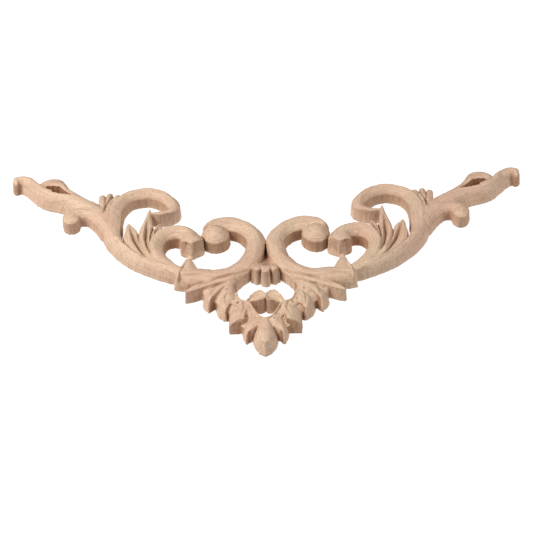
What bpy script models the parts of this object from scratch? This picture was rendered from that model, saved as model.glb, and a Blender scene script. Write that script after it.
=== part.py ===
"""A carved wooden corner onlay: one board, pierced and carved into scrolls and leaves.

It lies on its flat back, face up. The apex of the corner is at the front and the two arms
run back and outwards, each the mirror image of the other. The left arm is modelled and a
Mirror makes the right one.
"""

import math

import bmesh
import bpy
from mathutils import Vector

# Driving sizes, in metres
LEG = 0.200  # along each edge of the corner, from the apex to the tip of the arm
WALL_HEIGHT = 0.0068  # back to the edge of a scroll, where its crowned top starts
CROWN_HEIGHT = 0.0044  # from there to the top of the scroll eyes
DRAFT = math.radians(4.5)  # lean of the carved walls, wider at the back

# The carving is drawn on a corner whose legs are 200 long, with the apex at (0, 0)
DRAWN_LEG = 200
DRAWN_ORIGIN = 64  # apex to the origin, which sits under the sheaf between the scrolls
UNIT = LEG / DRAWN_LEG

# The round opening of the lower eye, as drawn
EYE_CENTRE = 46.5
EYE_RADIUS = 15.2

# Crown of a scroll, of its domed end and of a leaf: 2 is round, 1 is a ridge
SCROLL_ROUNDNESS = 2.2
BOSS_ROUNDNESS = 2.0
LEAF_ROUNDNESS = 1.4
CROWN_FULLNESS = 0.7
LEAST_CROWN = 0.1  # rise of a crown over its own edge

# Fineness of the facets
LONGEST_FACET = 0.008  # along a scroll
MOST_TURN = math.radians(17)  # between two sections of a scroll
SCROLL_SECTION = (-1.0, -0.78, -0.42, 0.0, 0.42, 0.78, 1.0)  # points across, in half widths
LEAF_SECTION = (-1.0, -0.5, 0.0, 0.5, 1.0)
CAP_ANGLES = (38, 74)  # degrees round a rounded end
BOSS_SIDES = 16
EYE_SIDES = 40
BOSS_RINGS = (1.0, 0.82, 0.5, 0.12)  # outside in, in radii
SINK = 0.003  # how far each shape reaches below the back before the back is cut flat
MIRROR_TOLERANCE = 0.00001
SHARPEST_BEND = math.radians(32)  # shaded smooth up to here

WOOD_COLOUR = (0.72, 0.50, 0.34, 1.0)
WOOD_ROUGHNESS = 0.62


def height(rise):
    """Height over the back: 0 at the wall's edge and 1 at the top of the scroll eyes."""
    return WALL_HEIGHT + rise * CROWN_HEIGHT


def placed(x, y):
    """A drawn point in metres, seen from the origin."""
    return Vector((UNIT * x, UNIT * (y - DRAWN_ORIGIN)))


def crown(radius, roundness):
    """Share of the crown left at this share of the half width."""
    return max(0.0, 1 - abs(radius) ** roundness) ** CROWN_FULLNESS


def smoothed(stations):
    """Catmull-Rom through the drawn stations, as rows of metres: x, y, half width, rise."""
    rows = [Vector((*placed(x, y), UNIT * half_width, rise)) for x, y, half_width, rise in stations]
    padded = [2 * rows[0] - rows[1], *rows, 2 * rows[-1] - rows[-2]]
    path = []
    for before, start, end, after in zip(padded, padded[1:], padded[2:], padded[3:]):
        turn = (end - before).xy.angle((after - start).xy)
        parts = max(1, round((end - start).xy.length / LONGEST_FACET), round(turn / MOST_TURN))
        for part in range(parts):
            t = part / parts
            bend = (2 * before - 5 * start + 4 * end - after) * t**2
            twist = (3 * start - before - 3 * end + after) * t**3
            path.append(0.5 * (2 * start + (end - before) * t + bend + twist))
    path.append(rows[-1])
    return path


def directions(path):
    """Unit vectors along the path, one for each of its rows."""
    last = len(path) - 1
    for index in range(len(path)):
        yield (path[min(index + 1, last)].xy - path[max(index - 1, 0)].xy).normalized()


def sideways(ahead):
    return Vector((-ahead.y, ahead.x))


def band_section(centre, ahead, half_width, crest, edge, roundness, shares, along=0.0):
    """One closed section: up the first wall, over the crown and down the other wall."""
    across = sideways(ahead)
    foot = half_width + math.tan(DRAFT) * (edge + SINK)
    points = [(*(centre - across * foot), -SINK)]
    for share in shares:
        place = centre + across * half_width * share
        radius = math.hypot(along, share * math.sqrt(1 - along**2))
        points.append((*place, edge + (crest - edge) * crown(radius, roundness)))
    points.append((*(centre + across * foot), -SINK))
    return points


def band_sections(path, edge_drop, roundness, shares, round_ends):
    """The sections along a path, with those of its rounded ends."""
    rings = []
    last = len(path) - 1
    for index, (row, ahead) in enumerate(zip(path, directions(path))):
        crest = height(row[3])
        edge = min(height(-edge_drop), height(row[3] - LEAST_CROWN))
        ring = band_section(row.xy, ahead, row[2], crest, edge, roundness, shares)
        caps = []
        if index in (0, last) and round_ends[index > 0]:
            way = ahead if index else -ahead
            for angle in CAP_ANGLES:
                along = math.sin(math.radians(angle))
                half_width = row[2] * math.cos(math.radians(angle))
                centre = row.xy + way * along * row[2]
                cap = band_section(centre, ahead, half_width, crest, edge, roundness, shares, along)
                caps.append(cap)
        rings += [*caps[::-1], ring] if index == 0 else [ring, *caps]
    return rings


def mesh_object(name, bm, collection):
    bmesh.ops.recalc_face_normals(bm, faces=bm.faces)
    mesh = bpy.data.meshes.new(name)
    bm.to_mesh(mesh)
    bm.free()
    made = bpy.data.objects.new(name, mesh)
    collection.objects.link(made)
    return made


def loft(name, rings, collection):
    """A closed solid through sections that have the same number of points."""
    bm = bmesh.new()
    rows = [[bm.verts.new(point) for point in ring] for ring in rings]
    for row, following in zip(rows, rows[1:]):
        for index in range(len(row)):
            after = (index + 1) % len(row)
            bm.faces.new((row[index], row[after], following[after], following[index]))
    bm.faces.new(rows[0])
    bm.faces.new(rows[-1])
    return mesh_object(name, bm, collection)


def scroll(name, collection, stations, round_ends=(False, True), edge_drop=0.0):
    """A crowned band: stations of x, y, half width and rise along its middle."""
    rings = band_sections(smoothed(stations), edge_drop, SCROLL_ROUNDNESS, SCROLL_SECTION, round_ends)
    return loft(name, rings, collection)


def leaf(name, collection, stations, round_ends=(False, False), edge_drop=0.12):
    """A leaf or lobe with a soft ridge along its middle."""
    rings = band_sections(smoothed(stations), edge_drop, LEAF_ROUNDNESS, LEAF_SECTION, round_ends)
    return loft(name, rings, collection)


def gouge(name, collection, stations):
    """A V-shaped cut: stations of x, y, half width a crown's height up and rise of its floor."""
    path = smoothed(stations)
    top = height(1) + SINK
    rings = []
    for row, ahead in zip(path, directions(path)):
        floor = height(row[3])
        across = sideways(ahead) * row[2] * (top - floor) / CROWN_HEIGHT
        rings.append([(*(row.xy - across), top), (*row.xy, floor), (*(row.xy + across), top)])
    return loft(name, rings, collection)


def prism(name, collection, outline):
    """An upright cutter through the whole board."""
    low, high = -2 * SINK, height(1) + SINK
    rings = [[(*placed(x, y), z) for x, y in outline] for z in (low, high)]
    return loft(name, rings, collection)


def boss(name, collection, x, y, radii, rise, edge_rise):
    """The domed end of a scroll, on an oval foot."""
    crest, edge = height(rise), height(edge_rise)
    centre = placed(x, y)
    lean = math.tan(DRAFT) * (edge + SINK)

    def ring(share, z, grown=0.0):
        points = []
        for side in range(BOSS_SIDES):
            angle = 2 * math.pi * (side + 0.5) / BOSS_SIDES
            dx = (radii[0] * UNIT * share + grown) * math.cos(angle)
            dy = (radii[1] * UNIT * share + grown) * math.sin(angle)
            points.append((centre.x + dx, centre.y + dy, z))
        return points

    rings = [ring(1.0, -SINK, lean)]
    rings += [ring(share, edge + (crest - edge) * crown(share, BOSS_ROUNDNESS)) for share in BOSS_RINGS]
    return loft(name, rings, collection)


def big_scrolls(shapes):
    """The main arm with its loop, the small scroll inside it and the centre scroll."""
    scroll("main_arm", shapes, [
        (-41, 62.0, 3.2, 0.50), (-50, 65.2, 3.8, 0.64), (-58, 68.6, 4.2, 0.73), (-65, 73.2, 4.5, 0.73),
        (-71, 78.8, 4.7, 0.73), (-76.6, 85.5, 5.0, 0.73), (-81, 93.5, 5.4, 0.73), (-83.2, 102, 5.6, 0.73),
        (-82.8, 111, 5.2, 0.73), (-80, 119.8, 4.7, 0.73), (-74.5, 126.6, 4.3, 0.73),
        (-66.5, 129.4, 4.1, 0.73), (-58.8, 127.6, 4.2, 0.73), (-53.3, 122.3, 4.3, 0.73),
        (-51.2, 116.5, 4.2, 0.73), (-51.9, 112.3, 3.4, 0.68), (-54.5, 109.8, 2.4, 0.64),
        (-58, 109.0, 1.8, 0.59), (-61.5, 109.4, 1.3, 0.55),
    ])
    scroll("small_scroll", shapes, [
        (-52, 68, 3.5, 0.60), (-56.5, 73, 3.8, 0.64), (-58.6, 80, 4.0, 0.68), (-58.2, 87.0, 4.2, 0.73),
        (-54.5, 92.6, 4.3, 0.77), (-48.5, 94.6, 4.5, 0.80), (-42.8, 93, 4.8, 0.84),
        (-39.8, 88.5, 5.0, 0.89),
    ], round_ends=(False, False))
    boss("small_eye", shapes, -39.4, 85.4, (5.7, 5.9), 0.95, 0.50)
    scroll("centre_scroll", shapes, [
        (-30.3, 97.5, 3.6, 0.82), (-26.5, 100.4, 4.6, 0.84), (-19.5, 101.0, 5.3, 0.86),
        (-12.6, 97.6, 5.4, 0.84), (-7.5, 91.8, 5.4, 0.82), (-5.3, 85.5, 5.2, 0.77), (-5.8, 78, 5.0, 0.73),
        (-8.2, 70.5, 4.8, 0.68), (-13, 63.8, 4.4, 0.64), (-19, 59.4, 4.0, 0.59), (-26, 57.6, 4.1, 0.55),
        (-34, 57.9, 4.7, 0.50), (-40.8, 57.9, 4.9, 0.41), (-45.8, 59.0, 4.4, 0.23),
    ], round_ends=(True, False))
    boss("centre_eye", shapes, -27.0, 92.6, (7.7, 8.8), 1.0, 0.64)
    scroll("spur", shapes, [
        (-40.6, 60, 3.2, 0.41), (-40.5, 64.5, 2.2, 0.36), (-40.4, 70, 1.2, 0.1), (-40.4, 81, 1.0, -0.9),
    ], round_ends=(False, False))


def arm_end(shapes):
    """The hook, the tail with its small ring, and the sprout outside the loop."""
    scroll("hook", shapes, [
        (-84, 103, 4.6, 0.64), (-89.5, 110.0, 4.6, 0.59), (-95.2, 113.0, 4.0, 0.55),
        (-100.4, 113.2, 4.1, 0.55), (-105.2, 112.2, 3.6, 0.45),
    ], round_ends=(False, False), edge_drop=0.05)
    boss("hook_eye", shapes, -105.2, 109.2, (4.9, 6.3), 0.52, 0.05)
    scroll("tail", shapes, [
        (-86, 108, 4.5, 0.59), (-92, 114.6, 5.0, 0.64), (-99, 119.5, 5.2, 0.68), (-106.5, 125, 5.0, 0.73),
        (-114, 127.8, 4.2, 0.73), (-121, 130.8, 4.2, 0.73), (-127.5, 135.4, 4.2, 0.73),
        (-132.5, 140.4, 4.6, 0.70), (-136.8, 143.4, 4.2, 0.5), (-140.8, 143.9, 3.5, -0.3),
    ], round_ends=(False, False), edge_drop=0.15)
    scroll("tail_ring", shapes, [
        (-126.0, 132.6, 2.8, 0.50), (-124.6, 137.4, 2.8, 0.55), (-120.6, 141.4, 2.8, 0.55),
        (-115.6, 141.4, 2.7, 0.55), (-112.8, 137.4, 2.4, 0.52), (-112.0, 133.0, 2.0, 0.50),
        (-112.8, 129.0, 1.8, 0.50),
    ], round_ends=(False, False), edge_drop=0.1)
    scroll("tail_lobe", shapes, [
        (-109.0, 132.5, 1.6, 0.36), (-105.8, 128.8, 3.0, 0.50), (-100, 122.6, 3.2, 0.55),
        (-93, 117.4, 3.2, 0.55),
    ], round_ends=(True, False), edge_drop=0.1)
    leaf("sprout_outer", shapes, [
        (-90.6, 114, 2.2, 0.41), (-90.8, 122, 1.7, 0.36), (-90.6, 127.8, 0.9, 0.2),
    ])
    leaf("sprout_middle", shapes, [
        (-86, 115, 2.4, 0.45), (-86.4, 123, 1.8, 0.41), (-86.5, 128.8, 1.1, 0.25),
    ])
    leaf("sprout_inner", shapes, [
        (-82.5, 116, 2.2, 0.5), (-82.6, 123, 1.6, 0.45), (-82.6, 127.2, 0.9, 0.3),
    ])


def loop_leaf(shapes):
    """The three-lobed leaf that grows inside the big loop."""
    leaf("leaf_outer", shapes, [
        (-60, 69.8, 1.2, 0.27), (-66, 76, 2.1, 0.36), (-71, 84, 2.6, 0.41), (-74, 93, 2.4, 0.41),
        (-74.6, 98.5, 1.8, 0.32), (-74.4, 102, 0.7, 0.18),
    ])
    leaf("leaf_middle", shapes, [
        (-62, 73, 1.6, 0.27), (-66.5, 82, 2.8, 0.45), (-68, 92, 3.2, 0.59), (-66.3, 101, 2.5, 0.68),
        (-64, 108, 1.6, 0.64), (-63.0, 112.6, 0.6, 0.5),
    ])
    leaf("leaf_inner", shapes, [
        (-61, 78, 1.8, 0.36), (-62.5, 88, 2.3, 0.45), (-61, 95.0, 2.2, 0.45), (-58.5, 99, 1.4, 0.36),
        (-57, 101.4, 0.7, 0.27),
    ])


def palmette(shapes):
    """The lobes that fan out from the lower eye down to the apex."""
    leaf("lobe_front", shapes, [
        (0, 23, 2.6, 0.32), (0, 19, 4.4, 0.41), (0, 15, 5.8, 0.50), (0, 11.4, 6.0, 0.50),
        (0, 7.4, 4.8, 0.36), (0, 3.6, 2.8, 0.18), (0, 0.6, 0.4, -0.05),
    ])
    leaf("lobe_second", shapes, [
        (-3.5, 26.5, 3.4, 0.27), (-7.0, 20.4, 3.6, 0.32), (-8.9, 15.6, 2.7, 0.23),
        (-9.1, 11.8, 0.5, -0.05),
    ])
    leaf("lobe_third", shapes, [
        (-9.0, 35.0, 3.6, 0.32), (-12.8, 30, 4.2, 0.36), (-14.5, 24.5, 3.8, 0.36),
        (-14.7, 18.9, 3.0, 0.1),
    ])
    leaf("lobe_fourth", shapes, [
        (-15.5, 46.0, 4.0, 0.41), (-19.6, 40.8, 4.7, 0.45), (-21.8, 35.5, 3.4, 0.32),
        (-19.6, 29.4, 0.6, -0.1),
    ])
    leaf("lobe_fifth", shapes, [
        (-19, 50.8, 3.4, 0.45), (-26.2, 47.0, 4.2, 0.45), (-29.4, 41.6, 3.1, 0.32),
        (-28.3, 36.0, 0.6, -0.1),
    ])
    leaf("lobe_sixth", shapes, [
        (-14, 56, 2.2, 0.55), (-22, 53.4, 2.4, 0.50), (-29, 51.2, 2.6, 0.45), (-35, 48.6, 2.9, 0.32),
        (-40.8, 45.4, 1.7, 0.14),
    ])
    scroll("web", shapes, [
        (-30, 50.5, 3.5, 0.1), (-22, 45, 5.5, 0.1), (-16.8, 38, 4.0, 0.1), (-12, 30, 4.5, 0.1),
        (-7, 23.5, 4.5, 0.1), (0, 20, 4.0, 0.1),
    ], round_ends=(False, False), edge_drop=0.08)
    scroll("scroll_foot", shapes, [
        (-8.0, 68, 4.0, 0.60), (-12.6, 60.0, 4.6, 0.52), (-18.0, 52.5, 4.6, 0.45), (-19.5, 46, 3.6, 0.36),
    ])


def lower_eye(insets):
    """The thin rim of the lower eye and the two-lobed bud that stands in it."""
    scroll("rim", insets, [
        (-16.4, 42.5, 1.2, 0.36), (-14.9, 37.6, 1.3, 0.36), (-11.6, 34.4, 1.4, 0.36),
        (-8.4, 30.6, 1.4, 0.32), (-6.4, 26.2, 1.4, 0.32), (-3.8, 22.6, 1.4, 0.32), (0, 21.2, 1.4, 0.32),
    ], round_ends=(False, False))
    scroll("bud", insets, [(-8.4, 32.4, 2.2, 0.25), (-6.2, 37.0, 3.6, 0.36), (-4.4, 40.3, 4.7, 0.45)])


def sheaf(insets):
    """What ties the two centre scrolls together: ribs in front and a sunk floor behind."""
    scroll("sheaf_side", insets, [(-5.3, 72, 1.9, -0.1), (-5.3, 66, 1.9, 0.32), (-5.3, 59.4, 1.9, 0.32)])
    leaf("sheaf_middle", insets, [
        (0, 76, 1.4, -0.1), (0, 66, 2.6, 0.36), (0, 59.0, 2.7, 0.41), (0, 55.8, 1.2, 0.3),
    ])
    scroll("sheaf_floor", insets, [(0, 86, 1.5, -0.3), (0, 74, 4, -0.3), (0, 60.5, 5, -0.2)],
           round_ends=(False, False), edge_drop=0.6)


def pierced(cuts):
    """The lower eye, cut through the board: a round opening and the pointed one below it."""
    turns = [2 * math.pi * side / EYE_SIDES for side in range(EYE_SIDES)]
    prism("eye_round", cuts, [
        (EYE_RADIUS * math.cos(turn), EYE_CENTRE + EYE_RADIUS * math.sin(turn)) for turn in turns
    ])
    prism("eye_point", cuts, [
        (9, 37), (-9.4, 37), (-8.4, 33.4), (-6.6, 29.6), (-5.0, 26.0), (-2.8, 23.4), (0, 22.4), (9, 22.4),
    ])


def carved_lines(cuts):
    """The deep cuts between and along the leaves."""
    gouge("cut_below_foot", cuts, [
        (-10, 61.0, 0.5, 0.55), (-17, 56.6, 1.0, 0.2), (-25, 54.4, 1.3, 0.1), (-31, 52.6, 1.2, 0.1),
        (-37, 49.4, 0.9, 0.2),
    ])
    gouge("cut_above_fifth", cuts, [
        (-14, 53.6, 0.5, 0.4), (-20, 51.0, 1.0, 0.1), (-26, 49.4, 1.0, 0.0), (-32, 46.6, 0.7, 0.1),
    ])
    gouge("cut_fourth", cuts, [(-20.4, 46.0, 0.5, 0.5), (-21.4, 41, 1.4, 0.28), (-21.6, 36, 0.6, 0.3)])
    gouge("cut_third", cuts, [(-11.6, 33.4, 0.5, 0.4), (-12.0, 29, 1.3, 0.2), (-13.0, 24, 0.5, 0.3)])
    gouge("cut_leaf_outer", cuts, [
        (-63, 72, 0.6, 0.2), (-69.3, 81, 1.3, -0.3), (-72.6, 90, 1.0, -0.1), (-74, 97, 0.3, 0.2),
    ])
    gouge("cut_leaf_middle", cuts, [
        (-61.5, 75, 0.5, 0.3), (-64.6, 85, 1.4, -0.3), (-65.3, 95, 1.1, 0.0), (-64.6, 103, 0.4, 0.4),
    ])
    gouge("cut_sprout", cuts, [(-88.3, 109, 0.3, 0.55), (-88.4, 117, 1.1, 0.0), (-88.7, 129, 1.4, -0.6)])


def below_back(collection):
    """Everything under the flat back, to be cut away."""
    bm = bmesh.new()
    bmesh.ops.create_cube(bm, size=1)
    bmesh.ops.scale(bm, vec=(3 * LEG, 3 * LEG, 4 * SINK), verts=bm.verts)
    bmesh.ops.translate(bm, vec=(0, 0, -2 * SINK), verts=bm.verts)
    mesh_object("below_back", bm, collection)


def wood():
    material = bpy.data.materials.new("wood")
    material.use_nodes = True
    shader = material.node_tree.nodes["Principled BSDF"]
    shader.inputs["Base Color"].default_value = WOOD_COLOUR
    shader.inputs["Roughness"].default_value = WOOD_ROUGHNESS
    return material


def boolean(onlay, operation, operands):
    """Joins or cuts with a whole collection. EXACT leaves open edges where the cuts meet."""
    modifier = onlay.modifiers.new(operands.name, "BOOLEAN")
    modifier.solver = "MANIFOLD"
    modifier.operation = operation
    modifier.operand_type = "COLLECTION"
    modifier.collection = operands


def mirrored(onlay):
    modifier = onlay.modifiers.new("mirror", "MIRROR")
    modifier.use_bisect_axis = (True, False, False)
    modifier.use_bisect_flip_axis = (True, False, False)
    modifier.bisect_threshold = MIRROR_TOLERANCE
    modifier.merge_threshold = MIRROR_TOLERANCE


def carved(onlay):
    """Applies the modifiers, so that the shading can break at the carved edges."""
    graph = bpy.context.evaluated_depsgraph_get()
    onlay.data = bpy.data.meshes.new_from_object(onlay.evaluated_get(graph))
    onlay.modifiers.clear()
    onlay.data.shade_smooth()
    onlay.data.set_sharp_from_angle(angle=SHARPEST_BEND)


def main():
    for old in list(bpy.data.objects):
        bpy.data.objects.remove(old)
    names = ("corner_onlay", "shapes", "cuts", "insets", "waste")
    parts, shapes, cuts, insets, waste = (bpy.data.collections.new(name) for name in names)
    for collection in (parts, shapes, cuts, insets, waste):
        bpy.context.scene.collection.children.link(collection)

    big_scrolls(shapes)
    arm_end(shapes)
    loop_leaf(shapes)
    palmette(shapes)
    pierced(cuts)
    carved_lines(cuts)
    lower_eye(insets)
    sheaf(insets)
    below_back(waste)

    onlay = shapes.objects["main_arm"]
    onlay.name = "carved_onlay"
    shapes.objects.unlink(onlay)
    parts.objects.link(onlay)
    for helper in (*shapes.objects, *cuts.objects, *insets.objects, *waste.objects):
        helper.hide_render = True
        helper.display_type = "WIRE"

    boolean(onlay, "UNION", shapes)
    boolean(onlay, "DIFFERENCE", cuts)
    boolean(onlay, "UNION", insets)
    boolean(onlay, "DIFFERENCE", waste)
    mirrored(onlay)
    onlay.data.materials.append(wood())
    carved(onlay)


main()
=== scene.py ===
"""Looks of the carved corner onlay: the carved wood, the floor, the light and the camera.

The carving is drawn on its left half in millimetres: x to the right, y back from the apex and z up
from the flat back. Each scroll and leaf is a band along a smoothed line. The bands fill a grid with
the distance to the wood's surface, lines and pits are cut into it, and it is mirrored. The surface
of the grid is the piece.
"""

import itertools
import math

import bpy
import numpy as np
from mathutils import Matrix, Vector


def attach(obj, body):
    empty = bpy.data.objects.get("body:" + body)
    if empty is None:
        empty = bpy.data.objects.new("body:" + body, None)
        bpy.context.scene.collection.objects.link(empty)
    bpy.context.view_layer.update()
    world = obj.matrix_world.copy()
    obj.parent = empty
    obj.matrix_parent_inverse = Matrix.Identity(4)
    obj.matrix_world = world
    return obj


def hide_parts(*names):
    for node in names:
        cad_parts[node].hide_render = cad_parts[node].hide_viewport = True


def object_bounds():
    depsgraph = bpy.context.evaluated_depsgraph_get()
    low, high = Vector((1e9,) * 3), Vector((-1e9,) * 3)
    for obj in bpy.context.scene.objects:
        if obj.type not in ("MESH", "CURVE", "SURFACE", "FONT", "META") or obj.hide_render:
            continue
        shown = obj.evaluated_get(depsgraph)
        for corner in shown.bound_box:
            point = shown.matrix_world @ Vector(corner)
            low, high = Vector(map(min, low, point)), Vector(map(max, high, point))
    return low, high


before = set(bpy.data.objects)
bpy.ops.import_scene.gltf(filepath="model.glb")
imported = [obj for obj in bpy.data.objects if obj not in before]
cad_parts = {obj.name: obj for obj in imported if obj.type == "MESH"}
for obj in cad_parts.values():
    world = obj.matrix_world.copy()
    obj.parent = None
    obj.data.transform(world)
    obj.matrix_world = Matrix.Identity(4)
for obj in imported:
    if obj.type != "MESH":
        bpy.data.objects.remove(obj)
cad_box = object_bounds()

# The drawing on the frame
DRAWN_HALF_WIDTH = 141.28  # mirror line to the tip of an arm
DRAWN_ORIGIN = 64  # apex to the frame's origin, along y
MM = cad_box[1][0] / DRAWN_HALF_WIDTH  # one drawn millimetre, in metres

# Grid and paths, in drawn millimetres
STEP = 0.4
LOW_CORNER = (-143.2, -2.0, -1.2)
HIGH_CORNER = (0.0, 150.4, 12.8)
FAR = 4.0  # distance kept where there is no wood near
BAND_SPACING = 1.0
CUT_SPACING = 0.5
CUT_MARGIN = 1.0
LEAST_WIDTH = 0.05  # half width that a path has at least
TINY = 0.01  # keeps the middle of a boss from dividing by nought
MOST_TRIANGLES = 190000

# Wood
EDGE = 6.8  # height where half widths are drawn, and of an edge that isn't given
LOBE_EDGE = 1.5  # where the top starts on the side of a lobe that rolls down to the back
LEAN = math.tan(math.radians(4.5))  # draft of the walls
SCROLL_ROUNDNESS = 2.0  # more is a flatter top with steeper sides
LEAF_ROUNDNESS = 1.5
LOBE_ROUNDNESS = 2.6
LEAST_CROWN = 0.3
SOFT_EDGE = 0.3  # rounding of the edge between a wall and a top
CRISP_EDGE = 0.2  # the same on the eye's rim and along a cut
ROLLED_EDGE = 6.0  # the same at the back of the lower eye
SOFT_JOIN = 0.3  # rounding where two bands meet
STEEPEST = 3.0  # slope of a top past which its distance is no longer corrected
WALL_REACH = 1.6  # how far from a wall's line its painted shade goes
RIM_HALF_WIDTH = 0.6
RIM_CREST = 9.1
PIT_DEPTH = 1.6
SPROUT_EDGES = (7.8, 7.8)

# Painted shade: how dark the bottoms of the cuts, the pricks and the hollow are painted
CUT_SHADE = 0.3
DEEP_CUT_SHADE = 0.45
DEEPEST_CUT_SHADE = 0.5
HOLLOW_SHADE = 0.6
PIT_SHADE = 0.8

# Marks of the tool: depth and size of the unevenness, then depth and grid layers of the chatter
SEED = 7
HAND_MARKS = ((0.10, 3.0), (0.05, 1.2))
CHATTER = 0.06
CHATTER_LAYERS = 3

# Finish, and the tones of the painted shade
PALE_WOOD = (0.67, 0.535, 0.415, 1)
WARM_WOOD = (0.665, 0.495, 0.39, 1)
# Dark tone of the grain streaks, flecks and wall hatch, and also of the painted shade in cuts, pricks and
# the hollow
DARK_GRAIN_AND_SHADE = (0.34, 0.20, 0.13, 1)
WALL_SHADE_TONE = (0.60, 0.45, 0.34, 1)  # painted shade: multiplies the tone of a shaded wall
FLOOR_TONE = (0.10, 0.10, 0.10, 1)
FLOOR_GLOW = 0.96
FLOOR_HALF_SIDE = 3.0
FLOOR_GAP = 0.0003
WHITE = (1, 1, 1, 1)
SKY_STRENGTH = 0.13
PHOTO_GAMMA = 0.72  # a photo's steeper tones: dark walls come out browner than pale tops

# Camera, worked out from the photograph: millimetres from the apex, and pixels of its 533 px frame
IMAGE_SIDE = 533
FOCAL = 2000.0
ELEVATION = math.radians(38.96)
YAW = math.radians(-1.13)
ROLL = math.radians(1.71)
APEX_PIXEL = (265.8, 357.8)
PIXELS_PER_MM = 1.986
SENSOR = 36.0


def smoothed(rows, spacing):
    """Catmull-Rom through rows that start with x and y, as an array of finer rows."""
    rows = np.array(rows, float)
    padded = np.vstack([2 * rows[0] - rows[1], rows, 2 * rows[-1] - rows[-2]])
    path = []
    for before, start, end, after in zip(padded, padded[1:], padded[2:], padded[3:]):
        count = max(2, int(np.hypot(*(end - start)[:2]) / spacing))
        t = np.linspace(0, 1, count, endpoint=False)[:, None]
        bend = (2 * before - 5 * start + 4 * end - after) * t**2
        twist = (3 * start - before - 3 * end + after) * t**3
        path.append(0.5 * (2 * start + (end - before) * t + bend + twist))
    return np.vstack([*path, rows[-1:]])


class Nearest:
    """What each grid point finds at the nearest place on a path.

    side is above nought left of the path, and over is how far past an end the point is, below
    nought at the start.
    """

    def __init__(self, path, x, y):
        self.distance = np.full(x.shape, np.inf)
        self.side = np.zeros(x.shape)
        self.along = np.zeros(x.shape)
        self.over = np.zeros(x.shape)
        self.values = np.zeros((*x.shape, path.shape[1] - 2))
        walked = 0.0
        for index, (start, end) in enumerate(zip(path, path[1:])):
            step = end - start
            length = np.hypot(*step[:2])
            if length == 0:
                continue
            ahead = step[:2] / length
            dx, dy = x - start[0], y - start[1]
            along = dx * ahead[0] + dy * ahead[1]
            share = np.clip(along / length, 0, 1)
            distance = np.hypot(dx - share * step[0], dy - share * step[1])
            closer = distance < self.distance
            past = np.zeros(x.shape)
            if index == 0:
                past = np.minimum(along, 0)
            if index == len(path) - 2:
                past = past + np.maximum(along - length, 0)
            self.distance[closer] = distance[closer]
            self.side[closer] = (ahead[0] * dy - ahead[1] * dx)[closer]
            self.along[closer] = (walked + share * length)[closer]
            self.over[closer] = past[closer]
            self.values[closer] = (start[2:] + share[..., None] * step[2:])[closer]
            walked += length


def smooth_max(first, second, radius):
    overlap = np.maximum(radius - np.abs(first - second), 0) / radius
    return np.maximum(first, second) + overlap**2 * radius / 4


def smooth_min(first, second, radius):
    return -smooth_max(-first, -second, radius)


def crown(share, roundness):
    """Share of the crown left at this share of the half width."""
    return np.clip(1 - np.abs(share) ** roundness, 0, 1)


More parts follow.
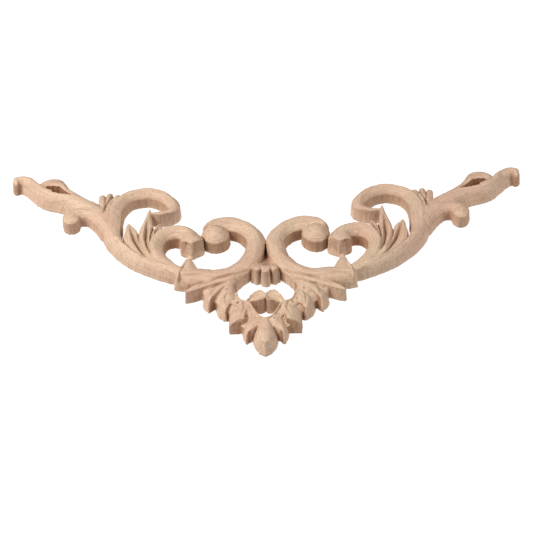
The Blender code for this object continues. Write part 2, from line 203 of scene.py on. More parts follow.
class Relief:
    """A grid of distances to the surface, below nought in the wood, and maps of its tops, the flow of its
    streaks and its painted shade.
    """

    def __init__(self):
        counts = [round((high - low) / STEP) + 1 for low, high in zip(LOW_CORNER, HIGH_CORNER)]
        self.axes = [low + STEP * np.arange(count) for low, count in zip(LOW_CORNER, counts)]
        self.field = np.full(counts, FAR, np.float32)
        self.skyline = np.full(counts[:2], -1.0)
        self.flow = np.zeros((*counts[:2], 2))
        self.painted_cut_shade = np.zeros(counts[:2])
        self.burn = np.zeros(counts[:2])

    def window(self, points, margin):
        """Slices of the grid that hold the points, and x and y there."""
        slices = []
        for axis in (0, 1):
            grid = self.axes[axis]
            first = np.searchsorted(grid, points[:, axis].min() - margin)
            last = np.searchsorted(grid, points[:, axis].max() + margin)
            slices.append(slice(max(first, 0), min(last, len(grid))))
        x, y = np.meshgrid(self.axes[0][slices[0]], self.axes[1][slices[1]], indexing="ij")
        return tuple(slices), x, y

    def under(self, top):
        """Distances to a surface that is given as heights."""
        slope = np.hypot(*np.gradient(top, STEP))
        level = 1 / np.sqrt(1 + np.minimum(slope, STEEPEST) ** 2)
        return (self.axes[2] - top[..., None]) * level[..., None]

    def fill(self, place, wall, top, soft, flow, facets, burnt):
        """Adds wood inside a wall, which is a distance at the height EDGE, and under a top.

        facets are planes that trim this wood only: a point on each and the direction it faces.
        The last argument is how much painted shade darkens the walls.
        """
        x, y = np.meshgrid(*(axis[part] for axis, part in zip(self.axes, place)), indexing="ij")
        z = self.axes[2]
        walls = wall[..., None] - LEAN * (EDGE - z)
        added = smooth_max(walls, self.under(top), soft)
        trimmed = wall
        for point, facing in facets:
            away = Vector(facing).normalized()
            beyond = (x - point[0]) * away.x + (y - point[1]) * away.y
            added = smooth_max(added, beyond[..., None] + (z - point[2]) * away.z, soft)
            top = np.minimum(top, point[2] - beyond / away.z)
            trimmed = np.maximum(trimmed, beyond)
        # Painted shade: the walls near this wall's line are marked to be painted darker.
        self.burn[place] = np.where(np.abs(trimmed) < WALL_REACH, burnt, self.burn[place])
        old = self.field[place]
        self.field[place] = np.where(added < FAR, smooth_min(old, added, SOFT_JOIN), old)
        higher = (wall < 0) & (top > self.skyline[place])
        self.skyline[place] = np.where(higher, top, self.skyline[place])
        self.flow[place][higher] = flow[higher]

    def band(self, rows, edges=(EDGE, EDGE), roundness=SCROLL_ROUNDNESS, flat=(False, False),
             crest_at=0.0, hollow=0.0, soft=SOFT_EDGE, facets=(), burnt=(0.0, 0.0)):
        """A crowned band: rows of x, y, half width and crest height along its middle.

        edges are the heights of its right and left edge, seen along the path, and crest_at is the
        place of the crest across it. Longer rows hold these three as well. flat says which ends
        are cut off square, hollow how deep the crest is scooped out, and the last option how much
        painted shade darkens the right and left wall.
        """
        path = smoothed(rows, BAND_SPACING)
        place, x, y = self.window(path, path[:, 2].max() + FAR)
        near = Nearest(path, x, y)
        half_width = np.maximum(near.values[..., 0], LEAST_WIDTH)
        crest = near.values[..., 1]
        if path.shape[1] > 4:
            edges = near.values[..., 2], near.values[..., 3]
            crest_at = near.values[..., 4]
        wall = near.distance - half_width
        offset = np.where(near.side > 0, 1, -1) * near.distance
        for end, sign in enumerate((-1, 1)):
            if flat[end]:
                past = near.over * sign > 0
                squared = np.maximum(np.abs(near.side) - half_width, near.over * sign)
                wall = np.where(past, squared, wall)
                offset = np.where(past, near.side, offset)

        def edge_height(on_left):
            return np.minimum(np.where(on_left, edges[1], edges[0]), crest - LEAST_CROWN)

        left = offset > 0
        across = np.clip(offset / (half_width + LEAN * (EDGE - edge_height(left))), -1, 1)
        beyond = across > crest_at
        share = np.abs(across - crest_at) / np.where(beyond, 1 - crest_at, 1 + crest_at)
        edge = edge_height(beyond)
        top = edge + (crest - edge) * crown(share, roundness) - hollow * (1 - share**2)
        flow = np.stack([near.along, near.side], -1)
        self.fill(place, wall, top, soft, flow, facets, np.where(left, burnt[1], burnt[0]))

    def leaf(self, rows, edges, **options):
        self.band(rows, edges, roundness=LEAF_ROUNDNESS, **options)

    def boss(self, x, y, radii, crest, edge, facets=(), burnt=0.0):
        """The domed end of a scroll, trimmed by facets."""
        centre = np.array([[x, y]])
        place, grid_x, grid_y = self.window(centre, max(radii) + FAR)
        dx, dy = grid_x - x, grid_y - y
        share = np.maximum(np.hypot(dx / radii[0], dy / radii[1]), TINY)
        growth = np.hypot(dx / radii[0] ** 2, dy / radii[1] ** 2) / share
        wall = (share - 1) / np.maximum(growth, TINY)
        top = edge + (crest - edge) * crown(np.minimum(share, 1), SCROLL_ROUNDNESS)
        flow = np.stack([np.arctan2(dy, dx) * radii[0], np.hypot(dx, dy)], -1)
        self.fill(place, wall, top, SOFT_EDGE, flow, facets, burnt)

    def line(self, rows, painted_cut_shade=CUT_SHADE, sharp=True):
        """A cut along a path: rows of x, y, half width and depth below the surface."""
        path = smoothed(rows, CUT_SPACING)
        place, x, y = self.window(path, path[:, 2].max() + CUT_MARGIN)
        near = Nearest(path, x, y)
        share = np.clip(near.distance / np.maximum(near.values[..., 0], LEAST_WIDTH), 0, 1)
        bowl = 1 - share if sharp else (1 - share**2) ** 2
        skyline = self.skyline[place]
        floor = skyline - near.values[..., 1] * bowl
        cut = smooth_max(self.field[place], self.under(floor), CRISP_EDGE)
        carved = (share < 1) & (skyline > 0)
        self.field[place] = np.where(carved[..., None], cut, self.field[place])
        self.skyline[place] = np.where(carved, floor, skyline)
        # Painted shade: the bottom of the cut is painted dark.
        self.painted_cut_shade[place] = np.maximum(self.painted_cut_shade[place], painted_cut_shade * bowl)

    def pit(self, x, y, radius):
        """A round prick, which is a very short cut with painted shade in it."""
        ends = [(x, y, radius, PIT_DEPTH), (x + STEP / 4, y, radius, PIT_DEPTH)]
        self.line(ends, PIT_SHADE, sharp=False)

    def pierce(self, outline, soft=SOFT_EDGE):
        """Cuts through the board inside a closed outline of x and y."""
        points = np.array(outline, float)
        place, x, y = self.window(points, FAR)
        loop = np.vstack([points, points[:1]])
        near = Nearest(loop, x, y)
        inside = np.zeros(x.shape, bool)
        for (x0, y0), (x1, y1) in zip(loop, loop[1:]):
            if y0 != y1:
                crosses = (y0 > y) != (y1 > y)
                inside ^= crosses & (x < (x1 - x0) * (y - y0) / (y1 - y0) + x0)
        signed = np.where(inside, near.distance, -near.distance)
        self.field[place] = smooth_max(self.field[place], signed[..., None], soft)
        self.skyline[place] = np.where(inside, -1.0, self.skyline[place])

    def mirror(self):
        """Adds the mirror image, which makes the left half the whole board."""
        x, y, z = self.axes
        self.axes = [np.concatenate([x, -x[-2::-1]]), y, z]
        for name in ("field", "skyline", "flow", "painted_cut_shade", "burn"):
            half = getattr(self, name)
            setattr(self, name, np.concatenate([half, half[-2::-1]]))

    def sampled(self, values, points):
        """A map's values at points, between its grid points."""
        places = [(points[:, axis] - self.axes[axis][0]) / STEP for axis in (0, 1)]
        i, j = (np.clip(place.astype(int), 0, size - 2) for place, size in zip(places, values.shape))
        u, v = places[0] - i, places[1] - j
        if values.ndim == 3:
            u, v = u[:, None], v[:, None]
        near = values[i, j] * (1 - u) + values[i + 1, j] * u
        far = values[i, j + 1] * (1 - u) + values[i + 1, j + 1] * u
        return near * (1 - v) + far * v


def big_scrolls(relief):
    """The main arm with its loop, the small scroll inside it and the centre scroll."""
    relief.band([
        (-30.3, 97.5, 3.6, 10.3, 6.6, 6.6, 0.3), (-26.5, 100.4, 4.6, 10.3, 6.6, 6.6, 0.3),
        (-19.5, 101.2, 5.1, 10.3, 6.6, 6.6, 0.3), (-12.3, 98.0, 4.9, 10.2, 6.6, 6.6, 0.3),
        (-7.1, 92.1, 4.9, 10.1, 6.8, 6.8, 0.2), (-5.0, 85.5, 4.9, 10.0, 7.2, 7.0, 0.1),
        (-5.8, 78, 5.0, 9.9, 7.4, 7.2, 0), (-8.2, 70.5, 4.8, 9.8, 7.6, 7.6, 0),
        (-13, 63.8, 4.4, 9.6, 7.8, 7.8, 0), (-19, 59.4, 4.0, 9.4, 7.8, 8.2, 0),
        (-26, 57.6, 4.1, 9.3, 7.8, 8.0, 0), (-34, 57.9, 4.7, 9.3, 7.8, 6.4, 0),
        (-40.8, 57.9, 4.9, 9.3, 8.0, 4.6, 0), (-47.6, 59.2, 4.5, 9.3, 8.2, 4.0, 0),
    ], flat=(False, True), facets=[((-45.5, 57, 9.2), (-0.95, 0.05, 0.30))], burnt=(0.6, 0.1))
    relief.boss(
        -27.0, 92.8, (7.4, 8.0), 11.2, 6.6, facets=[((-22, 85.2, 0), (0.52, -0.85, 0.04))], burnt=0.5
    )
    relief.band([
        (-46.2, 61.6, 2.4, 8.2, 7.8, 3.8, -0.5), (-51.0, 62.8, 2.3, 8.8, 8.2, 3.8, -0.6),
        (-59.1, 66.9, 2.2, 9.4, 8.9, 4.0, -0.7), (-66.4, 71.5, 2.3, 9.6, 9.1, 4.0, -0.7),
        (-72.7, 77.2, 2.5, 9.7, 9.2, 4.4, -0.6), (-78.4, 84.3, 2.9, 9.8, 9.0, 5.0, -0.4),
        (-82.2, 93.0, 4.1, 9.7, 8.5, 5.4, 0), (-83.4, 102, 5.2, 9.6, 7.9, 5.8, 0.3),
        (-83.2, 111.3, 4.8, 9.6, 7.2, 6.0, 0.45), (-80.8, 120.2, 3.9, 9.5, 6.4, 6.0, 0.45),
        (-75.2, 127.4, 3.5, 9.5, 5.8, 6.0, 0.45), (-66.5, 130.3, 3.4, 9.5, 5.8, 6.0, 0.45),
        (-58.4, 128.2, 3.5, 9.5, 6.0, 6.2, 0.4), (-52.6, 122.6, 3.7, 9.5, 6.6, 6.6, 0.2),
        (-50.5, 116.6, 3.6, 9.4, 7.2, 7.6, 0.2), (-51.9, 113.2, 2.9, 9.3, 7.8, 8.6, 0.3),
        (-54.8, 111.4, 2.0, 9.2, 8.2, 8.8, 0.3), (-58, 110.3, 1.6, 9.1, 8.4, 8.8, 0.3),
        (-61.8, 110.6, 1.1, 9.0, 8.4, 8.7, 0.3),
    ], burnt=(0.4, 0.0))
    relief.band([
        (-44.6, 60.0, 2.8, 9.0, 8.4, 8.0, 0), (-50.8, 65.6, 3.1, 9.0, 8.2, 8.0, 0),
        (-56.0, 72.5, 3.8, 9.4, 7.8, 7.8, 0.2),
        (-58.6, 80, 4.0, 9.8, 6.8, 7.2, 0.4), (-58.2, 87.0, 4.2, 10.0, 6.2, 6.8, 0.45),
        (-54.5, 92.6, 4.3, 10.2, 6.1, 6.6, 0.45), (-48.5, 94.6, 4.5, 10.3, 6.1, 6.6, 0.4),
        (-42.8, 93, 4.8, 10.5, 6.8, 7.0, 0.2), (-39.8, 88.5, 5.0, 10.7, 8.0, 8.0, 0),
    ], burnt=(0.7, 0.1))
    relief.boss(-39.5, 85.8, (6.2, 6.2), 10.9, 8.6, facets=[
        ((-40.6, 80.7, 10), (0.57, -0.82, 0.22)), ((-41.6, 80.4, 0), (-0.50, -0.86, 0.20)),
    ], burnt=0.3)
    relief.band([
        (-40.2, 61.5, 4.4, 9.1), (-40.4, 64.5, 3.7, 8.9), (-40.7, 66.8, 3.1, 8.7), (-40.8, 68.4, 2.6, 8.5),
        (-40.8, 69.4, 2.0, 8.2),
    ], edges=(7.6, 7.6))
    relief.band([
        (-45.9, 55.0, 0.8, 9.3), (-45.5, 57.0, 0.8, 9.8), (-44.9, 61.0, 0.8, 9.7), (-43.4, 64.6, 0.8, 9.2),
        (-42.2, 68.2, 0.6, 8.6),
    ], edges=(8.6, 8.6))
    relief.band([(-40.7, 67, 1.0, 2.4), (-40.7, 80.6, 0.9, 2.0)], edges=(1.4, 1.4))


def arm_end(relief):
    """The hook, the tail with its small ring, and the sprout outside the loop."""
    relief.band([
        (-85.5, 101, 4.6, 9.5), (-89.5, 108.5, 4.8, 9.2), (-95.2, 113.4, 3.8, 9.0),
        (-100.4, 114.4, 3.8, 8.9), (-105.2, 112.8, 4.4, 8.8), (-106.2, 110.6, 4.4, 8.8),
    ], edges=(6.8, 5.8), burnt=(0, 0.15))
    relief.boss(-105.9, 109.0, (4.3, 5.3), 8.9, 7.2, burnt=0.3)
    relief.band([
        (-86, 108, 4.5, 9.4, 6.0, 6.0, 0), (-92, 114.6, 5.0, 9.5, 6.4, 6.0, 0),
        (-99, 119.5, 5.2, 9.7, 7.0, 4.6, -0.2), (-106.5, 124.4, 4.6, 9.9, 8.0, 2.6, -0.4),
        (-112.5, 126.4, 3.7, 10.0, 9.2, 1.4, -0.6), (-119.6, 129.0, 3.6, 10.0, 9.2, 1.4, -0.6),
        (-123.6, 131.6, 3.4, 9.9, 9.0, 1.4, -0.6), (-127.6, 136.2, 3.0, 9.8, 8.6, 1.6, -0.5),
        (-130.9, 140.4, 3.1, 9.6, 8.0, 2.0, -0.5), (-135.0, 143.4, 2.9, 9.4, 7.8, 2.4, -0.5),
        (-138.6, 143.4, 2.6, 9.2, 7.8, 2.6, -0.5), (-139.9, 143.0, 2.4, 8.9, 7.4, 3.0, -0.5),
    ], roundness=LOBE_ROUNDNESS, flat=(False, True))
    relief.boss(-139.0, 143.1, (2.0, 3.1), 9.0, 6.8, burnt=0.5)
    relief.band([
        (-124.6, 135.0, 2.6, 9.2), (-123.6, 138.4, 3.2, 9.3), (-120.2, 140.6, 4.2, 9.3),
        (-116.2, 140.4, 4.2, 9.3), (-112.8, 137.2, 2.9, 9.2), (-110.2, 133.6, 2.2, 9.1),
        (-107.0, 130.2, 2.2, 9.1), (-103.6, 126.4, 2.7, 9.2), (-99, 121.8, 3.2, 9.2),
        (-93, 117.4, 3.2, 9.2),
    ], edges=(8.8, 6.4), burnt=(0.8, 0))
    relief.pierce([
        (-118.6, 132.2), (-118.2, 134.6), (-116.8, 136.2), (-114.6, 136.2), (-112.0, 133.0),
        (-106.6, 127.0), (-112.8, 128.0), (-117.6, 129.8),
    ])
    for rows in (
        [(-88.6, 112, 2.4, 9.0), (-89.3, 120, 2.3, 8.9), (-89.9, 126.6, 1.9, 8.6)],
        [(-86.0, 112, 2.4, 9.2), (-86.2, 121, 2.4, 9.0), (-86.0, 128.0, 1.9, 8.7)],
        [(-82.8, 113, 2.6, 9.4), (-82.2, 121, 2.4, 9.2), (-81.8, 126.8, 1.8, 8.8)],
    ):
        relief.leaf(rows, SPROUT_EDGES)


def loop_leaf(relief):
    """The three-lobed leaf that grows inside the big loop."""
    relief.leaf([
        (-56, 68.5, 1.6, 8.4), (-62.5, 73, 2.8, 8.5), (-67, 78, 4.0, 8.6), (-70.2, 84, 4.7, 8.7),
        (-72.0, 90, 4.5, 8.8), (-72.6, 95.2, 3.3, 8.7), (-73.6, 98.9, 1.9, 8.5), (-74, 101.4, 0.6, 8.2),
    ], (8.0, 8.0))
    relief.leaf([
        (-61, 74, 2.4, 8.5), (-63.0, 81, 3.6, 8.6), (-64.2, 88, 4.3, 8.8), (-64.2, 95, 4.0, 9.0),
        (-63.9, 101.5, 2.8, 9.1), (-63.5, 108.5, 1.5, 9.1), (-63.2, 113.6, 0.4, 8.8),
    ], (8.2, 8.2))
    relief.leaf([
        (-61.5, 82, 2.4, 8.6), (-60.8, 88, 2.9, 8.8), (-59, 94, 2.7, 9.0), (-57.8, 98.5, 1.8, 9.0),
        (-57, 100.8, 0.6, 8.8),
    ], (8.2, 8.2))


def palmette(relief):
    """The lobes that fan out from the lower eye down to the apex."""
    relief.band([
        (-31, 50, 4.0, 7.4), (-24.2, 44.8, 6.0, 7.2), (-17.2, 37, 5.6, 7.0), (-12, 29, 5.6, 6.8),
        (-7.5, 22.0, 5.6, 6.6), (0, 18, 5.0, 6.6),
    ], edges=(5.0, 5.0))
    relief.band([
        (-8.0, 68, 4.0, 9.4), (-12.6, 60.0, 4.6, 9.1), (-18.0, 52.5, 4.8, 8.8), (-19.0, 44, 4.2, 8.4),
        (-14.5, 35.5, 3.2, 8.2), (-9, 29.5, 3.0, 8.0), (-3.6, 21.5, 3.0, 8.0),
    ], edges=(7.6, 7.6))
    rolled = {
        "edges": (LOBE_EDGE, 7.6), "roundness": LOBE_ROUNDNESS, "crest_at": 0.3, "burnt": (0, 0.7),
    }
    relief.band([
        (-4.0, 26, 3.4, 8.3), (-6.4, 20.5, 4.4, 8.5), (-7.9, 16.5, 3.8, 8.2),
        (-8.7, 13.4, 2.5, 7.6), (-9.0, 11.4, 1.2, 7.0),
    ], facets=[((-8.9, 10.4, 0), (0.62, -0.76, 0.18))], **rolled)
    relief.band([
        (0, 23, 3.0, 8.3), (0, 19, 4.4, 8.9), (0, 15, 5.6, 9.3), (0, 11, 6.1, 9.3), (0, 8.5, 5.7, 9.0),
        (0, 6.5, 5.0, 8.6), (0, 5, 4.2, 8.1), (0, 4.1, 3.4, 7.7),
    ], (LOBE_EDGE, LOBE_EDGE), LOBE_ROUNDNESS, facets=[
        ((0, 0.6, 0), (side * 0.45, -0.86, 0.36)) for side in (-1, 1)
    ])
    relief.band([
        (-9.6, 34.5, 3.2, 8.5, 6.4, 8.0, 0.4), (-12.6, 30, 4.1, 8.9, 6.2, 8.2, 0.5),
        (-14.2, 24.5, 4.2, 9.1, 5.6, 8.6, 0.6), (-14.4, 16, 3.6, 9.0, 5.0, 8.8, 0.7),
    ], facets=[((-17.7, 18.0, 0), (0.06, -0.97, 0.2))], burnt=(0.5, 0.6))
    relief.band([
        (-15.5, 46.0, 4.0, 8.6), (-19.6, 40.5, 5.0, 8.9), (-21.0, 36, 4.5, 8.7), (-21.4, 32.5, 2.9, 8.2),
        (-20.4, 29.9, 1.4, 7.6),
    ], facets=[((-19.6, 28.2, 0), (0.78, -0.58, 0.22))], **rolled)
    relief.band([
        (-19, 50.8, 3.4, 8.8), (-24.6, 46.6, 5.0, 8.9), (-28.0, 41.5, 4.6, 8.6), (-28.6, 38, 3.1, 8.0),
        (-28.6, 36.2, 1.4, 7.2),
    ], facets=[((-28.5, 35.2, 0), (0.75, -0.62, 0.2))], **rolled)
    relief.leaf([
        (-14, 56, 2.2, 9.2), (-22, 53.4, 2.4, 9.0), (-29, 51.2, 2.5, 8.8), (-35, 48.5, 2.5, 8.6),
        (-38.6, 46.0, 1.9, 8.5), (-40.9, 44.3, 0.8, 8.3),
    ], (7.0, 8.2), burnt=(0, 0.15))


def carved_lines(relief):
    """The deep cuts between and along the leaves."""
    # The foot of the centre scroll and the long leaf beside it
    relief.line([
        (-9, 61.0, 0.5, 0.3), (-13.4, 58, 0.8, 0.8), (-20.7, 55.3, 1.1, 1.5), (-26.4, 53.4, 1.2, 1.6),
        (-31, 51.1, 1.1, 1.2), (-35.6, 48.5, 0.6, 0.4),
    ], DEEP_CUT_SHADE)
    relief.line([
        (-14.4, 53.7, 0.6, 0.5), (-21.1, 50.9, 0.9, 1.1), (-25, 49, 0.9, 1.2), (-30.9, 46.8, 0.6, 0.6),
    ], DEEP_CUT_SHADE)
    relief.line([(-43, 56.9, 0.5, 0.4), (-38, 56.8, 0.9, 0.8), (-31, 56.9, 0.5, 0.3)])
    # One along each lobe of the palmette
    relief.line([(-27.3, 46.5, 0.5, 0.3), (-28, 44.1, 0.8, 0.6), (-28.7, 40.1, 0.5, 0.2)])
    relief.line([(-19.4, 43.2, 0.4, 0.4), (-20.9, 38.6, 0.7, 0.9), (-20.6, 33.2, 0.4, 0.3)])
    relief.line([(-11.6, 33, 0.4, 0.4), (-10.9, 29.6, 0.7, 0.9), (-12.5, 24.3, 0.4, 0.3)])
    relief.line([(-5.6, 23, 0.4, 0.3), (-7.2, 19.7, 0.6, 0.6), (-8.3, 17.3, 0.4, 0.2)])
    # The leaf in the loop
    relief.line([
        (-76.6, 90.0, 0.4, 0.8), (-76.0, 85.5, 0.6, 1.4), (-72.8, 80.3, 0.6, 1.4), (-68.4, 75.3, 0.5, 1.0),
        (-64.3, 71.2, 0.4, 0.6), (-60, 67.7, 0.3, 0.2),
    ], DEEPEST_CUT_SHADE)
    relief.line([
        (-73.4, 99.2, 0.5, 0.3), (-72.5, 95.6, 1.1, 1.4), (-70.3, 87.7, 1.6, 2.8), (-68.1, 82.5, 1.5, 2.8),
        (-66.0, 77.7, 1.2, 2.2), (-63.4, 73.4, 0.8, 1.3), (-59, 69, 0.5, 0.4),
    ], DEEPEST_CUT_SHADE)
    relief.line([
        (-68.4, 95.5, 0.9, 1.6), (-68.3, 90, 0.9, 1.4), (-67.2, 84.5, 0.8, 1.2), (-64.6, 78.5, 0.6, 0.8),
    ])
    relief.line([
        (-64.1, 106, 0.4, 0.3), (-64.2, 101.5, 1.0, 1.6), (-64.2, 96, 1.4, 2.6), (-64.3, 89.3, 1.4, 2.6),
        (-63.2, 82.3, 1.1, 2.0), (-61.2, 76.3, 0.6, 0.8),
    ], DEEPEST_CUT_SHADE)
    relief.line([(-60.4, 99.5, 0.8, 1.6), (-61.4, 93, 0.8, 1.4), (-61.8, 86, 0.6, 0.8)], DEEP_CUT_SHADE)
    relief.line([(-56.9, 100.2, 0.5, 0.8), (-58.6, 95.3, 1.0, 1.8), (-59.8, 91, 0.5, 0.6)], DEEPEST_CUT_SHADE)
    # The hook and the sprout
    relief.line([(-106.4, 113.4, 0.4, 0.2), (-102.6, 114.9, 0.5, 0.5), (-96.3, 114.7, 0.4, 0.2)])
    relief.line([(-88.0, 120, 0.4, 0.3), (-88.1, 124, 0.6, 0.8), (-88.2, 129, 0.7, 1.4)])
    relief.line([(-88.5, 110.8, 0.5, 0.3), (-87.3, 118.7, 0.9, 1.5), (-84.2, 128.2, 0.9, 2.0)], DEEP_CUT_SHADE)


def lower_eye(relief):
    """The pierced lower eye, its thin rim, the two-lobed bud that stands in it and the pricks."""
    relief.pierce([
        (9, 60), (-5, 60), (-8.6, 58.2), (-11, 56.3), (-13.4, 53), (-14.8, 49.5), (-15, 45),
        (-14.6, 42), (9, 42),
    ], ROLLED_EDGE)
    relief.pierce([
        (9, 46), (-14.9, 46), (-14.6, 39.5), (-13.6, 36.6), (-11.8, 35.2), (-9.4, 34.6), (-8, 33.4),
        (-6.6, 30), (-5, 26.4), (-3.5, 23.7), (-1.8, 22.2), (0, 21.6), (9, 21.6),
    ])
    rim = [
        (-13.2, 35.7), (-11.6, 34.6), (-9.5, 34.0), (-8, 32.7), (-6.7, 29.5), (-5.1, 25.9),
        (-3.6, 23.1), (-1.8, 21.5), (0, 20.8),
    ]
    relief.band([
        (-15.3, 42, RIM_HALF_WIDTH, 7.9), (-14.5, 38, RIM_HALF_WIDTH, 8.8),
        *((x, y, RIM_HALF_WIDTH, RIM_CREST) for x, y in rim),
    ], edges=(8.8, 8.8), soft=CRISP_EDGE)
    relief.band([
        (-8.0, 36.0, 1.7, 8.8), (-6.0, 37.4, 3.2, 9.4), (-3.8, 38.4, 4.3, 10.0),
    ], edges=(9.6, 9.8), hollow=2.4, burnt=(0.2, 0.2))
    for x, y, radius in (
        (-20.2, 45, 0.5), (-14.3, 34.3, 0.9), (-11.5, 33.3, 0.6), (-6.9, 25.0, 0.5),
        (-4.8, 21.7, 0.5), (-16.4, 37.1, 0.5),
    ):
        relief.pit(x, y, radius)


def sheaf(relief):
    """What ties the two centre scrolls together: ribs, and a hollow behind them with painted shade."""
    relief.band([(0, 84, 1.5, 3.4), (0, 76, 3.0, 3.8)], edges=(3, 3))
    relief.band([
        (0, 76, 3.5, 3.8), (0, 72.5, 4.2, 4.8), (0, 69, 4.8, 6.0), (0, 65, 6.0, 8.2), (0, 62, 6.8, 9.6),
        (0, 59.4, 7.4, 10.0),
    ], edges=(9.7, 9.7), flat=(True, True))
    relief.boss(0, 58.2, (2.3, 2.3), 10.0, 9.9)
    relief.boss(-4.5, 59.6, (1.6, 1.8), 10.0, 9.9)
    relief.line([(-2.7, 59.0, 0.4, 0.4), (-2.6, 62, 0.5, 0.5), (-2.4, 65, 0.4, 0.3)])
    relief.line([(-6.9, 59.2, 0.5, 0.8), (-6.3, 62.5, 0.5, 0.5), (-5.2, 66, 0.4, 0.3)])
    # A very shallow cut whose painted shade darkens the hollow.
    relief.line([
        (0, 64, 3.4, 0.1), (0, 70, 3.0, 0.1), (0, 78, 2.6, 0.1), (0, 83, 0.8, 0.1),
    ], HOLLOW_SHADE)


def tool_marks(relief, rng):
    """The uneven hand of the carver, and the chatter of the cutter down the walls."""
    x, y, z = relief.field.shape

    def waves(cells, count):
        coarse = rng.normal(size=cells + 2)
        return np.interp(np.linspace(0, cells + 1, count), np.arange(cells + 2), coarse)

    def uneven(size):
        shape = [max(2, int(count * STEP / size)) for count in (x, y)]
        coarse = rng.normal(size=shape)
        rows = np.linspace(0, shape[0] - 1, x)
        columns = np.linspace(0, shape[1] - 1, y)
        low, left = np.floor(rows).astype(int), np.floor(columns).astype(int)
        high, right = np.minimum(low + 1, shape[0] - 1), np.minimum(left + 1, shape[1] - 1)
        u, v = (rows - low)[:, None], (columns - left)[None]
        u, v = u * u * (3 - 2 * u), v * v * (3 - 2 * v)
        near = coarse[low][:, left] * (1 - u) + coarse[high][:, left] * u
        far = coarse[low][:, right] * (1 - u) + coarse[high][:, right] * u
        return near * (1 - v) + far * v

    marks = sum(depth * uneven(size) for depth, size in HAND_MARKS)
    relief.field += marks[..., None].astype(np.float32)
    relief.field += (CHATTER * waves(z // CHATTER_LAYERS, z)).astype(np.float32)


def surface(relief):
    """Surface nets: a point in each cell that the surface crosses, a quad over each cut edge."""
    field = relief.field
    solid = field < 0
    shape = tuple(size - 1 for size in field.shape)
    corners = list(itertools.product((0, 1), repeat=3))
    full = np.zeros(shape, np.uint8)
    for i, j, k in corners:
        full += solid[i:i + shape[0], j:j + shape[1], k:k + shape[2]]
    crossed = (full > 0) & (full < len(corners))
    cells = np.argwhere(crossed)
    number = np.full(shape, -1, np.int64)
    number[crossed] = np.arange(len(cells))
    total = np.zeros((len(cells), 3))
    cuts = np.zeros(len(cells))
    for corner in corners:
        for axis in range(3):
            if corner[axis]:
                continue
            step = np.eye(3, dtype=int)[axis]
            start = field[tuple((cells + corner).T)]
            end = field[tuple((cells + corner + step).T)]
            cut = (start < 0) != (end < 0)
            share = start[cut] / (start[cut] - end[cut])
            total[cut] += corner + share[:, None] * step
            cuts[cut] += 1
    points = (cells + total / cuts[:, None]) * STEP + [axis[0] for axis in relief.axes]
    quads = []
    for axis in range(3):
        first, second = (np.eye(3, dtype=int)[(axis + turn) % 3] for turn in (1, 2))
        here = [slice(1, -1)] * 3
        after = [slice(1, -1)] * 3
        here[axis], after[axis] = slice(0, -1), slice(1, None)
        changed = solid[tuple(here)] != solid[tuple(after)]
        edges = np.argwhere(changed) + [0 if a == axis else 1 for a in range(3)]
        ring = [edges, edges - first, edges - first - second, edges - second]
        quad = np.stack([number[tuple(cell.T)] for cell in ring], -1)
        outward = solid[tuple(edges.T)]
        quad[~outward] = quad[~outward][:, ::-1]
        quads.append(quad)
    return points, np.vstack(quads)


def carved_piece(relief, material):
    """The mesh of the carving on the frame, with the flow of its streaks and its painted shade as
    attributes of its points.
    """
    points, quads = surface(relief)
    mesh = bpy.data.meshes.new("onlay_carving")
    mesh.from_pydata(points, [], quads)
    piece = bpy.data.objects.new("onlay_carving", mesh)
    bpy.context.scene.collection.objects.link(piece)
    thinned = piece.modifiers.new("thinned", "DECIMATE")
    thinned.ratio = min(1.0, MOST_TRIANGLES / (2 * len(quads)))
    graph = bpy.context.evaluated_depsgraph_get()
    piece.data = bpy.data.meshes.new_from_object(piece.evaluated_get(graph))
    piece.modifiers.clear()
    mesh = piece.data
    mesh.validate()
    mesh.shade_smooth()
    count = len(mesh.vertices)
    places = np.empty(3 * count)
    mesh.vertices.foreach_get("co", places)
    places = places.reshape(-1, 3)
    flow = np.column_stack([relief.sampled(relief.flow, places), places[:, 2]])
    mesh.attributes.new("flow", "FLOAT_VECTOR", "POINT").data.foreach_set("vector", flow.ravel())
    for name, values in (("painted_cut_shade", relief.painted_cut_shade), ("burn", relief.burn)):
        finish = relief.sampled(values, places)
        mesh.attributes.new(name, "FLOAT", "POINT").data.foreach_set("value", finish)
    placed = (places - [0, DRAWN_ORIGIN, 0]) * MM
    mesh.vertices.foreach_set("co", placed.ravel())
    mesh.materials.append(material)
    mesh.update()
    return piece


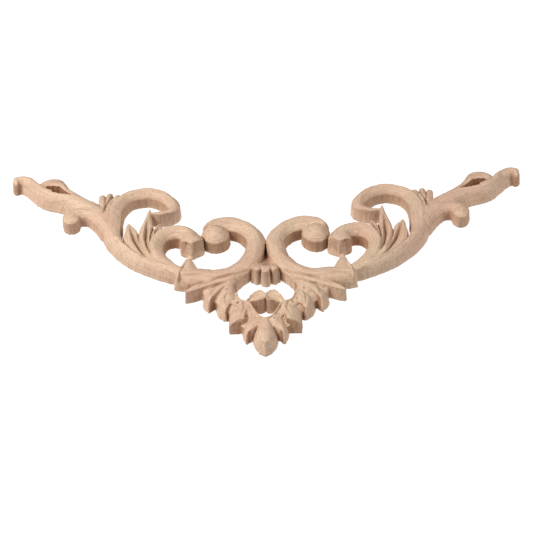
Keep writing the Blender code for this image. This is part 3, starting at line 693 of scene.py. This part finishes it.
class Shader:
    """A material's nodes, with short ways to add and link them."""

    def __init__(self, name):
        self.material = bpy.data.materials.new(name)
        self.material.use_nodes = True
        self.tree = self.material.node_tree
        self.principled = self.tree.nodes["Principled BSDF"]

    def add(self, kind, settings=(), **inputs):
        """A new node. Names of inputs are given with _ for a space."""
        node = self.tree.nodes.new("ShaderNode" + kind)
        for name, value in dict(settings).items():
            setattr(node, name, value)
        self.feed(node, **inputs)
        return node

    def feed(self, node, **inputs):
        for name, value in inputs.items():
            self.connect(node.inputs[name.replace("_", " ")], value)

    def connect(self, socket, value):
        """Links an output to the socket, or sets the socket to a plain value."""
        if isinstance(value, bpy.types.NodeSocket):
            self.tree.links.new(value, socket)
        else:
            socket.default_value = value

    def attribute(self, name, output):
        return self.add("Attribute", {"attribute_name": name}).outputs[output]

    def math(self, operation, first, second=0.0, third=0.0):
        node = self.add("Math", {"operation": operation})
        for socket, value in zip(node.inputs, (first, second, third)):
            self.connect(socket, value)
        return node.outputs[0]

    def mixed(self, share, first, second, blend="MIX"):
        """Two colours mixed, by the numbers of the Mix node's colour sockets."""
        node = self.add("Mix", {"data_type": "RGBA", "blend_type": blend})
        for index, value in ((0, share), (6, first), (7, second)):
            self.connect(node.inputs[index], value)
        return node.outputs[2]

    def ranged(self, value, low, high, most=1.0):
        """Nought at low, rising to most at high, and level past both."""
        node = self.add("MapRange", Value=value, From_Min=low, From_Max=high, To_Max=most)
        return node.outputs["Result"]

    def noise(self, vector, scale, detail=2.0, stretch=(1, 1, 1)):
        mapping = self.add("Mapping", Vector=vector, Scale=stretch)
        node = self.add("TexNoise", Vector=mapping.outputs[0], Scale=scale, Detail=detail)
        return node.outputs["Fac"]


def carved_wood():
    """Pale wood with streaks along the scrolls and hatched walls, with painted shade on walls and dark
    painted shade in the cuts.
    """
    shader = Shader("wood")
    flow = shader.attribute("flow", "Vector")
    place = shader.add("TexCoord").outputs["Object"]
    normal = shader.add("NewGeometry").outputs["Normal"]
    upright = shader.math("ABSOLUTE", shader.add("SeparateXYZ", Vector=normal).outputs["Z"])
    wall = shader.ranged(upright, low=0.75, high=0.25)

    patches = shader.noise(place, scale=28.0, detail=3.0)
    tone = shader.mixed(shader.ranged(patches, low=0.35, high=0.65), WARM_WOOD, PALE_WOOD)
    streaks = shader.noise(flow, scale=1.0, detail=3.0, stretch=(0.12, 1.6, 1.2))
    tone = shader.mixed(shader.ranged(streaks, low=0.42, high=0.72, most=0.30), tone, DARK_GRAIN_AND_SHADE)
    flecks = shader.noise(place, scale=1100.0, detail=1.0)
    tone = shader.mixed(shader.ranged(flecks, low=0.60, high=0.72, most=0.35), tone, DARK_GRAIN_AND_SHADE)
    hatch = shader.noise(place, scale=900.0, detail=1.0, stretch=(1, 1, 0.12))
    hatched = shader.math("MULTIPLY", shader.ranged(hatch, low=0.45, high=0.7, most=0.25), wall)
    tone = shader.mixed(hatched, tone, DARK_GRAIN_AND_SHADE)
    # Painted shade: the marked walls are darkened.
    shaded_walls = shader.math("MULTIPLY", shader.attribute("burn", "Fac"), wall)
    tone = shader.mixed(shaded_walls, tone, WALL_SHADE_TONE, "MULTIPLY")
    # Painted shade in the cuts, the pricks and the hollow.
    tone = shader.mixed(shader.attribute("painted_cut_shade", "Fac"), tone, DARK_GRAIN_AND_SHADE)

    lines = shader.noise(flow, scale=1.0, stretch=(0.15, 2.2, 1.0))
    pores = shader.noise(place, scale=1300.0)
    height = shader.math("MULTIPLY_ADD", pores, 0.8, lines)
    bump = shader.add("Bump", Height=height, Strength=0.35, Distance=0.00025)
    shader.feed(
        shader.principled, Base_Color=tone, Roughness=0.62, Specular_IOR_Level=0.3,
        Normal=bump.outputs[0],
    )
    return shader.material


def floor():
    """A pale floor that shines a little, so that it comes out white."""
    mesh = bpy.data.meshes.new("floor")
    size = FLOOR_HALF_SIDE
    corners = [(-size, -size, 0), (size, -size, 0), (size, size, 0), (-size, size, 0)]
    mesh.from_pydata(corners, [], [(0, 1, 2, 3)])
    piece = bpy.data.objects.new("floor", mesh)
    piece.location.z = cad_box[0][2] - FLOOR_GAP
    bpy.context.scene.collection.objects.link(piece)
    shader = Shader("floor")
    shader.feed(
        shader.principled, Base_Color=FLOOR_TONE, Roughness=0.9, Specular_IOR_Level=0.0,
        Emission_Color=WHITE, Emission_Strength=FLOOR_GLOW,
    )
    mesh.materials.append(shader.material)
    return piece


def area_light(name, place, size, power):
    """A round soft light that looks at the middle of the piece."""
    data = bpy.data.lights.new(name, "AREA")
    data.shape = "DISK"
    data.size = size
    data.energy = power
    light = bpy.data.objects.new(name, data)
    light.location = place
    light.rotation_euler = (-Vector(place)).to_track_quat("-Z", "Y").to_euler()
    bpy.context.scene.collection.objects.link(light)


def lights():
    """A soft key from the left, a weaker fill from the right and a little light all round."""
    world = bpy.data.worlds.new("studio")
    bpy.context.scene.world = world
    world.use_nodes = True
    background = world.node_tree.nodes["Background"]
    background.inputs["Color"].default_value = WHITE
    background.inputs["Strength"].default_value = SKY_STRENGTH
    area_light("key", place=(-0.64, -0.18, 0.75), size=0.6, power=11.2)
    area_light("fill", place=(0.76, -0.14, 0.64), size=0.8, power=5.8)
    view = bpy.context.scene.view_settings
    view.view_transform = "Standard"
    view.gamma = PHOTO_GAMMA


def camera():
    """The photograph's view of the piece."""
    forward = Vector((0, math.cos(ELEVATION), -math.sin(ELEVATION)))
    level = Vector((1, 0, 0))
    upward = Vector((0, math.sin(ELEVATION), math.cos(ELEVATION)))
    right = level * math.cos(ROLL) - upward * math.sin(ROLL)
    up = level * math.sin(ROLL) + upward * math.cos(ROLL)
    centre = IMAGE_SIDE / 2
    aside = (APEX_PIXEL[0] - centre) / FOCAL
    above = (centre - APEX_PIXEL[1]) / FOCAL
    distance = FOCAL / PIXELS_PER_MM
    place = -(forward + right * aside + up * above) * distance
    turn = Matrix.Rotation(-YAW, 3, "Z")
    axes = Matrix((turn @ right, turn @ up, -(turn @ forward))).transposed()
    data = bpy.data.cameras.new("camera")
    data.sensor_width = SENSOR
    data.lens = SENSOR * FOCAL / IMAGE_SIDE
    seen = bpy.data.objects.new("camera", data)
    spot = turn @ place - Vector((0, DRAWN_ORIGIN, 0))
    seen.matrix_world = Matrix.Translation(spot * MM) @ axes.to_4x4()
    bpy.context.scene.collection.objects.link(seen)
    bpy.context.scene.camera = seen


def main():
    relief = Relief()
    big_scrolls(relief)
    arm_end(relief)
    loop_leaf(relief)
    palmette(relief)
    carved_lines(relief)
    lower_eye(relief)
    sheaf(relief)
    relief.mirror()
    tool_marks(relief, np.random.default_rng(SEED))
    below_the_back = -relief.axes[2]
    relief.field = np.maximum(relief.field, below_the_back)

    piece = carved_piece(relief, carved_wood())
    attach(piece, "root")
    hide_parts("carved_onlay")
    floor()
    lights()
    camera()


main()
